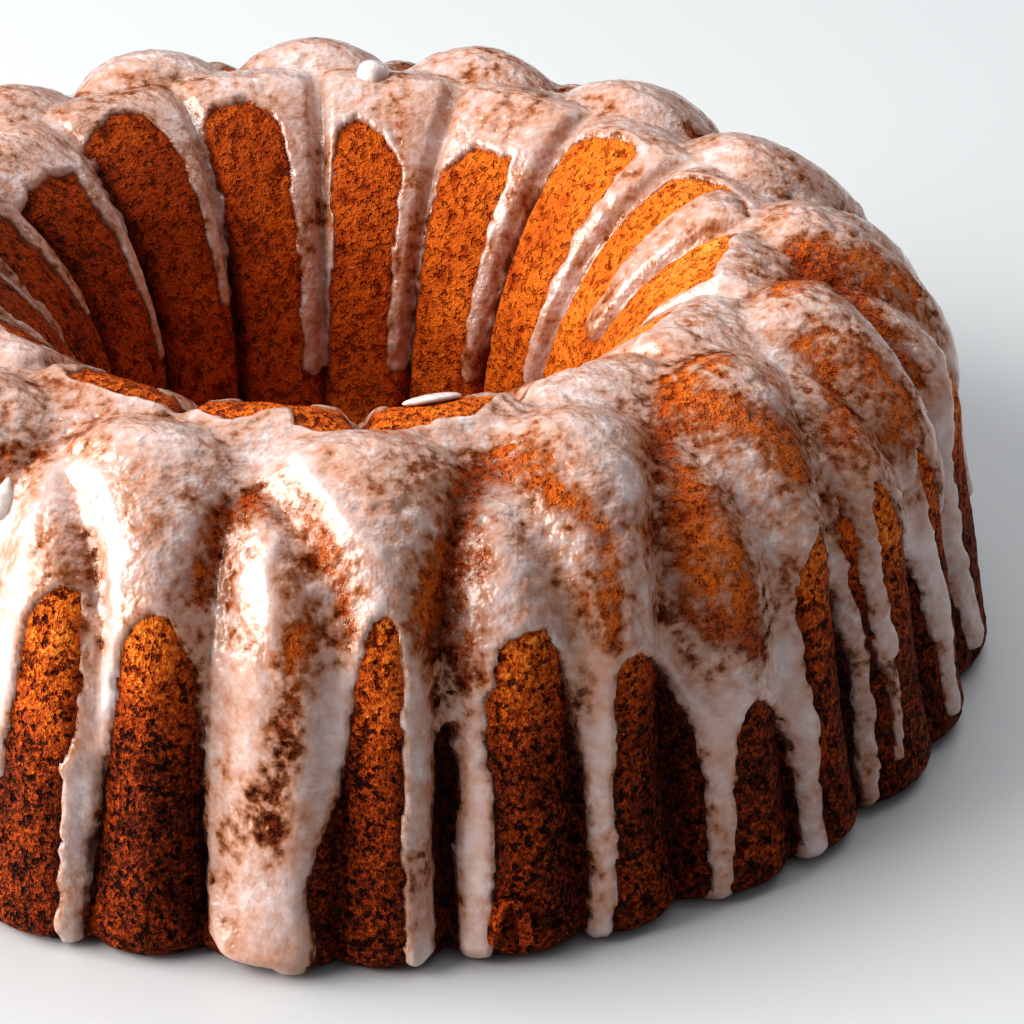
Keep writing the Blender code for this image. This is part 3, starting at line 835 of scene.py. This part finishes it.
def ring_piece(name, reaches, grid_maker, inner_depth, with_base, open_foot):
    """One closed piece of the ring: its outer side from the grids, its inner side hidden below."""
    reaches = np.asarray(reaches, float)
    step = reaches[1] - reaches[0]
    padded = np.concatenate(([reaches[0] - step], reaches, [reaches[-1] + step]))
    out, values = grid_maker(np.clip(padded, 0, END_REACH))
    surface = place_grid(np.clip(padded, 0, END_REACH), out)
    normals = surface_normals(surface)[1:-1]
    surface = surface[1:-1]
    values = {key: value[1:-1] for key, value in values.items()}
    if open_foot:
        surface[0, :, 2] = 0.0
    inner = inner_reaches(reaches[0], reaches[-1])
    if with_base:
        inner = inner[-1:]
    inner_out = -flute_grid(inner) - wave_grid(inner) - inner_depth
    inner_places = place_grid(inner, inner_out)
    inner_loop = np.stack(section_at(inner), axis=1)
    radial, upward = section_normal(inner)
    inner_loop -= inner_depth * np.stack((radial, upward), axis=1)
    if open_foot:
        inner_places[-1, :, 2] = 0.0
        inner_loop[-1, 1] = 0.0
    loop = list(np.stack(section_at(reaches), axis=1))
    table = list(surface)
    if with_base:
        surface[-1, :, 2] = 0.0
        foot = np.array([0.0])
        rim = place_grid(foot, -flute_grid(foot) - wave_grid(foot) - inner_depth)[0]
        rim[:, 2] = 0.0
        for share in BASE_SHARES:
            table.append(surface[-1] + (rim - surface[-1]) * share)
            loop.append((HOLE_RADIUS + (BASE_RADIUS - inner_depth - HOLE_RADIUS) * share, 0.0))
    table += list(inner_places)
    loop += list(inner_loop)
    piece = turned_piece(name, loop)
    rows, steps = rows_and_steps(piece, loop)
    places = np.array(table)[rows, steps] * MM
    piece.data.vertices.foreach_set("co", places.ravel())
    for key, value in values.items():
        spare = np.repeat(value[-1:], len(loop) - len(reaches), axis=0)
        full = np.concatenate((value, spare))
        add_values(piece, key, full[rows, steps])
    select_nothing()
    piece.select_set(True)
    bpy.context.view_layer.objects.active = piece
    bpy.ops.object.mode_set(mode="EDIT")
    bpy.ops.mesh.select_all(action="SELECT")
    bpy.ops.mesh.normals_make_consistent(inside=False)
    bpy.ops.object.mode_set(mode="OBJECT")
    bpy.ops.object.shade_smooth()
    borders = np.zeros((len(rows), 3))
    for row in (0, len(reaches) - 1):
        at_border = rows == row
        borders[at_border] = normals[row][steps[at_border]]
    piece.data.normals_split_custom_set_from_vertices([tuple(n) for n in borders])
    return piece


def crust_maker(reaches):
    """Grids of the crust: its place along the normal, and what its material reads."""
    flutes, waves, points, thickness, _, present = glaze_grids(reaches)
    relief, hollow = crust_relief(points)
    column = np.asarray(reaches)[:, None]
    out = -flutes - waves - CRUST_SETTLE + relief - CRUST_UNDER_GLAZE * present
    # 1 on ridge tops, 0 in full valleys: the material paints shade into the valleys with it.
    ridge = 1 - np.clip(flutes / VALLEY_DEPTH, 0, 1)
    values = {
        "ridge": ridge,
        # The material also paints shade into the pits with this.
        "hollow": hollow,
        "wet": ease(thickness, *WET_ZONE),
        "reach": np.broadcast_to(column * MM, ridge.shape),
    }
    return out, values


def glaze_maker(reaches):
    """Grids of the glaze: its surface over the crust, and what its material reads."""
    flutes, waves, points, thickness, cover, _ = glaze_grids(reaches)
    relief, _ = crust_relief(points)
    soft = blur_round(blur_round(flutes, FILL_BLUR), FILL_BLUR)
    fill = np.clip(flutes - soft, 0, FILL_MOST) * ease(thickness, *FILL_ZONE)
    follow = 1 - SMOOTHING * ease(thickness, *SMOOTHING_ZONE)
    out = fill - flutes - waves - GLAZE_SETTLE + thickness + follow * relief
    values = {
        "cover": cover,
        "thickness": np.clip(thickness, 0, BEAD_THICKNESS),
    }
    return out, values


def spot_on_cake(angle, reach, raised):
    """A place on the glazed surface, with its directions round the ring, up the section and out."""
    rows = np.array([reach - 1.0, reach, reach + 1.0])
    out = raised - flute_grid(rows) - wave_grid(rows)
    grid = place_grid(rows, out)
    step = round(angle % 360 / (360 / STEPS)) % STEPS
    across = grid[1, (step + 4) % STEPS] - grid[1, step - 4]
    along = grid[2, step] - grid[0, step]
    across = across / np.linalg.norm(across)
    normal = np.cross(across, along)
    normal = normal / np.linalg.norm(normal)
    return grid[1, step], across, np.cross(normal, across), normal


def glaze_bead(name, angle, reach, size, taper, lean):
    """A bead of glaze: round, or narrowing upwards to a tail, its lower half sunk in the cake."""
    select_nothing()
    bpy.ops.mesh.primitive_uv_sphere_add(segments=40, ring_count=24, radius=1)
    bead = bpy.context.active_object
    bead.name = name
    bead.data.name = name
    spot, across, along, normal = spot_on_cake(angle, reach, BEAD_RAISED)
    turn = math.radians(lean)
    wide, long, high = size
    for point in bead.data.vertices:
        x, y, z = point.co
        narrow = 1 - taper * ease(y, *BEAD_TAPER_ZONE)
        z = z * narrow if z > 0 else z * BEAD_UNDERSIDE
        bulge = 1 + BEAD_WAVE * math.sin(5 * x + 3 * y)
        side = x * wide * narrow * bulge
        length = y * long * bulge
        side, length = (
            side * math.cos(turn) - length * math.sin(turn),
            side * math.sin(turn) + length * math.cos(turn),
        )
        place = spot + across * side + along * length + normal * z * high
        point.co = tuple(place * MM)
    bead.data.update()
    bead.select_set(True)
    bpy.ops.object.mode_set(mode="EDIT")
    bpy.ops.mesh.select_all(action="SELECT")
    bpy.ops.mesh.normals_make_consistent(inside=False)
    bpy.ops.object.mode_set(mode="OBJECT")
    bpy.ops.object.shade_smooth()
    values = np.ones(len(bead.data.vertices))
    add_values(bead, "cover", values * BEAD_COVER)
    add_values(bead, "thickness", values * BEAD_THICKNESS)
    return bead


def crust_flake():
    """A curl of crust peeled from the wall near the foot."""
    select_nothing()
    bpy.ops.mesh.primitive_grid_add(x_subdivisions=10, y_subdivisions=36, size=2)
    flake = bpy.context.active_object
    flake.name = "crust_curl"
    flake.data.name = "crust_curl"
    spot, across, along, normal = spot_on_cake(*FLAKE_SPOT, 0.0)
    for point in flake.data.vertices:
        x, y, _ = point.co
        turn = math.radians(FLAKE_TURN) * (y + 1) / 2 - math.radians(FLAKE_LEAD)
        wave = 0.25 * math.sin(7 * y) + 0.2 * math.sin(11 * y + 2)
        side = -math.cos(turn) * FLAKE_WIDTH
        up = math.sin(turn) * FLAKE_HEIGHT - 1.0
        facing = math.radians(FLAKE_FACING[0] + FLAKE_FACING[1] * (y + 1))
        breadth = x * FLAKE_BREADTH * (1 + 0.2 * wave)
        side += breadth * math.sin(facing) + 0.4 * wave
        out = 1.0 + breadth * math.cos(facing) + 0.3 * wave
        place = spot + across * side + along * up + normal * out
        point.co = tuple(place * MM)
    flake.data.update()
    wall = flake.modifiers.new("thickness", "SOLIDIFY")
    wall.thickness = FLAKE_THICKNESS * MM
    wall.offset = 0
    bpy.context.view_layer.objects.active = flake
    bpy.ops.object.modifier_apply(modifier="thickness")
    softened = flake.modifiers.new("rounded", "SUBSURF")
    softened.levels = 1
    softened.render_levels = 1
    bpy.ops.object.modifier_apply(modifier="rounded")
    flake.select_set(True)
    bpy.ops.object.shade_smooth()
    values = np.ones(len(flake.data.vertices))
    for key, value in FLAKE_VALUES:
        add_values(flake, key, values * value)
    return flake


class Shade:
    """The output of a shader node. Plain arithmetic on it adds Math nodes."""

    def __init__(self, tree, socket=None):
        self.tree = tree
        self.socket = socket

    def node(self, kind, settings=None, sockets=None, output=0):
        """Add a node: its settings first, then the values or links of its sockets."""
        made = self.tree.nodes.new(kind)
        for name, value in (settings or {}).items():
            if name == "stops":
                stops = made.color_ramp.elements
                while len(stops) < len(value):
                    stops.new(0.5)
                for stop, (place, colour) in zip(stops, value):
                    stop.position = place
                    stop.color = (*colour, 1.0)
            else:
                setattr(made, name, value)
        for name, value in (sockets or {}).items():
            if isinstance(value, Shade):
                self.tree.links.new(value.socket, made.inputs[name])
            else:
                made.inputs[name].default_value = value
        return Shade(self.tree, made.outputs[output])

    def math(self, operation, first, second):
        return self.node("ShaderNodeMath", {"operation": operation}, {0: first, 1: second})

    def __add__(self, other):
        return self.math("ADD", self, other)

    def __radd__(self, other):
        return self.math("ADD", other, self)

    def __sub__(self, other):
        return self.math("SUBTRACT", self, other)

    def __rsub__(self, other):
        return self.math("SUBTRACT", other, self)

    def __mul__(self, other):
        return self.math("MULTIPLY", self, other)

    def __rmul__(self, other):
        return self.math("MULTIPLY", other, self)

    def smooth(self, start, end, low=0.0, high=1.0):
        """Rise smoothly from low at start to high at end."""
        return self.node(
            "ShaderNodeMapRange",
            {"interpolation_type": "SMOOTHSTEP"},
            {"Value": self, "From Min": start, "From Max": end, "To Min": low, "To Max": high},
        )

    def ramp(self, stops):
        """A colour for each value."""
        return self.node("ShaderNodeValToRGB", {"stops": stops}, {"Fac": self})

    def mix(self, first, second):
        """The first colour where this is 0, the second where it is 1."""
        return self.node(
            "ShaderNodeMix",
            {"data_type": "RGBA"},
            {"Factor": self, 6: first, 7: second},
            output=2,
        )


def start_material(name):
    """A new material with its node tree, its Principled shader and the object's coordinates."""
    made = bpy.data.materials.new(name)
    made.use_nodes = True
    tree = made.node_tree
    shader = tree.nodes["Principled BSDF"]
    place = Shade(tree).node("ShaderNodeTexCoord", output="Object")
    return made, tree, shader, place


def noise(place, scale, detail=2.0, roughness=0.5):
    """Smooth noise about 0.5."""
    return place.node(
        "ShaderNodeTexNoise",
        None,
        {"Vector": place, "Scale": scale, "Detail": detail, "Roughness": roughness},
    )


def attribute(place, name):
    """A number stored on the vertices."""
    return place.node("ShaderNodeAttribute", {"attribute_name": name}, output="Fac")


def bump(place, height, strength, distance):
    """Normals from a height."""
    return place.node(
        "ShaderNodeBump", None, {"Height": height, "Strength": strength, "Distance": distance}
    )


def feed(tree, shader, name, value):
    """Link a wrapped socket to one of the shader's sockets."""
    tree.links.new(value.socket, shader.inputs[name])


def crumb_noises(place):
    """Pores and fine grain of the crumb."""
    pores = noise(place, PORE_SCALE, 2.0, 0.65).smooth(0.46, 0.36)
    grain = noise(place, GRAIN_SCALE, 2.0, 0.7)
    return pores, grain


def crust_material():
    """Baked crumb: golden on the ridges and high on the wall, near black in pores and valleys. The
    dark of the valleys, pits and pores is painted shade, the darker hole is painted shade, and its
    lighter +X side is painted light.
    """
    made, tree, shader, place = start_material("baked crust")
    ridge = attribute(place, "ridge")
    hollow = attribute(place, "hollow")
    wet = attribute(place, "wet")
    reach = attribute(place, "reach")
    pores, grain = crumb_noises(place)
    blotch = noise(place, BLOTCH_SCALE, 2.0, 0.6)
    high = reach.smooth(*HIGH_ON_WALL)
    inside = reach.smooth(*INTO_HOLE)
    # Lighter on the ridges than in the valleys, which is painted shade in the valleys, and lighter
    # high on the wall.
    tone = TONE + ridge * VALLEY_PAINTED_SHADE + high * WALL_TOP_LIGHTER
    # Darker in the hole, which is painted shade, and darker where wet under the glaze.
    tone = tone - inside * HOLE_PAINTED_SHADE - wet * WET_DARKER
    dry = 1 - wet * WET_SMOOTHER
    rough = (1 - inside * HOLE_SMOOTHER) * dry
    # Random blotches of tone, and darker in pits: painted shade in the pits, less where wet.
    tone = tone + (blotch - 0.5) * BLOTCH_CONTRAST - hollow * dry * PIT_PAINTED_SHADE
    # Grain of the crumb, and darker in its pores: painted shade in the pores.
    tone = tone + ((grain - 0.5) * GRAIN_CONTRAST - pores * PORE_PAINTED_SHADE) * rough
    # In the hole lighter towards +X and darker towards -X: painted light and painted shade.
    sideways = place.node("ShaderNodeSeparateXYZ", None, {0: place})
    tone = tone + sideways * inside * HOLE_SIDE_PAINTED_LIGHT
    feed(tree, shader, "Base Color", tone.ramp(CRUST_COLOURS))
    feed(tree, shader, "Roughness", 0.38 + grain * 0.3)
    feed(tree, shader, "Coat Weight", wet * 0.1)
    shader.inputs["Specular IOR Level"].default_value = 0.12
    shader.inputs["Coat Roughness"].default_value = 0.12
    crumb = grain - pores * 0.9
    feed(tree, shader, "Normal", bump(place, crumb, *CRUST_BUMP))
    return made


def glaze_material():
    """Wet sugar glaze: white where thick, pinkish and see-through in mottled patches where thin."""
    made, tree, shader, place = start_material("sugar glaze")
    cover = attribute(place, "cover")
    thickness = attribute(place, "thickness")
    mottle = noise(place, MOTTLE_SCALE, 2.0, 0.6)
    cloud = noise(place, CLOUD_SCALE, 1.0, 0.5)
    body = thickness.smooth(*BODY_ZONE)
    loose = MOTTLE_LEFT - cover * COVER_CALMS - body * BODY_CALMS
    amount = cover + (cloud - 0.5) * CLOUD_CONTRAST + (mottle - 0.5) * MOTTLE_CONTRAST * loose
    edge = thickness.smooth(*EDGE_ZONE, EDGE_COVER, 1.0)
    opaque = amount.smooth(0.0, OPAQUE_AMOUNT, 0.0, OPAQUE_MOST)
    feed(tree, shader, "Alpha", opaque * edge)
    feed(tree, shader, "Base Color", amount.ramp(GLAZE_COLOURS))
    feed(tree, shader, "Roughness", 0.10 + mottle * 0.12)
    shader.inputs["Coat Weight"].default_value = 0.5
    shader.inputs["Coat Roughness"].default_value = 0.04
    clump = noise(place, CLUMP_SCALE, 1.0, 0.5)
    ripple = mottle * 0.6 + clump * (0.9 - body * 0.6)
    feed(tree, shader, "Normal", bump(place, ripple, *GLAZE_BUMP))
    return made


def floor_material():
    """Pale satin table top."""
    made, tree, shader, place = start_material("pale table")
    cloud = noise(place, FLOOR_CLOUD_SCALE, 2.0, 0.5)
    feed(tree, shader, "Base Color", cloud.mix(*FLOOR_COLOURS))
    shader.inputs["Roughness"].default_value = 0.45
    return made


def add_camera():
    """The camera that the photograph's outline gives."""
    lens = bpy.data.cameras.new("camera")
    lens.sensor_width = SENSOR
    lens.lens = FOCAL_PIXELS / IMAGE_SIZE * SENSOR
    lens.clip_start = 0.01
    camera = bpy.data.objects.new("camera", lens)
    bpy.context.scene.collection.objects.link(camera)
    camera.location = CAMERA_PLACE
    camera.rotation_euler = [math.radians(turn) for turn in CAMERA_TURN]
    bpy.context.scene.camera = camera


def add_soft_light(name, place, target, size, power, colour):
    """A square soft light aimed at a point."""
    light = bpy.data.lights.new(name, "AREA")
    light.size = size
    light.energy = power
    light.color = colour
    lamp = bpy.data.objects.new(name, light)
    bpy.context.scene.collection.objects.link(lamp)
    lamp.location = place
    lamp.rotation_euler = (Vector(target) - Vector(place)).to_track_quat("-Z", "Y").to_euler()


def add_surroundings():
    """Pale floor, soft window light from the left and a pale world."""
    select_nothing()
    bpy.ops.mesh.primitive_plane_add(size=FLOOR_SIZE)
    floor = bpy.context.active_object
    floor.name = "floor"
    floor.data.materials.append(floor_material())
    for lamp in LAMPS:
        add_soft_light(*lamp)
    world = bpy.data.worlds.new("pale room")
    bpy.context.scene.world = world
    world.use_nodes = True
    sky = world.node_tree.nodes["Background"]
    sky.inputs["Color"].default_value = WORLD_COLOUR
    sky.inputs["Strength"].default_value = WORLD_STRENGTH
    bpy.context.scene.view_settings.view_transform = "Standard"
    bpy.context.scene.view_settings.look = "High Contrast"


def place_piece(piece, material, replaces):
    """Give a finished piece its material, and hang it on the cake."""
    piece.data.materials.clear()
    piece.data.materials.append(material)
    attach(piece, "root")
    if replaces:
        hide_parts("cake")


def build():
    """The whole scene."""
    add_camera()
    crust = crust_material()
    glaze = glaze_material()
    depth = CRUST_INNER_DEPTH
    crust_pieces = (
        ring_piece("crust_wall", WALL_ROWS, crust_maker, depth, False, True),
        ring_piece("crust_crest", CREST_ROWS, crust_maker, depth, False, False),
        ring_piece("crust_hole_and_base", THROAT_ROWS, crust_maker, depth, True, False),
    )
    for piece in crust_pieces:
        place_piece(piece, crust, True)
    depth = GLAZE_INNER_DEPTH
    glaze_pieces = (
        ring_piece("glaze_wall_runs", WALL_ROWS, glaze_maker, depth, False, True),
        ring_piece("glaze_cap", CREST_ROWS, glaze_maker, depth, False, False),
        ring_piece("glaze_hole_runs", GLAZE_THROAT_ROWS, glaze_maker, depth, False, False),
    )
    for piece in glaze_pieces:
        place_piece(piece, glaze, False)
    for bead in BEADS:
        place_piece(glaze_bead(*bead), glaze, False)
    place_piece(crust_flake(), crust, False)
    add_surroundings()


build()
bpy.context.view_layer.update()
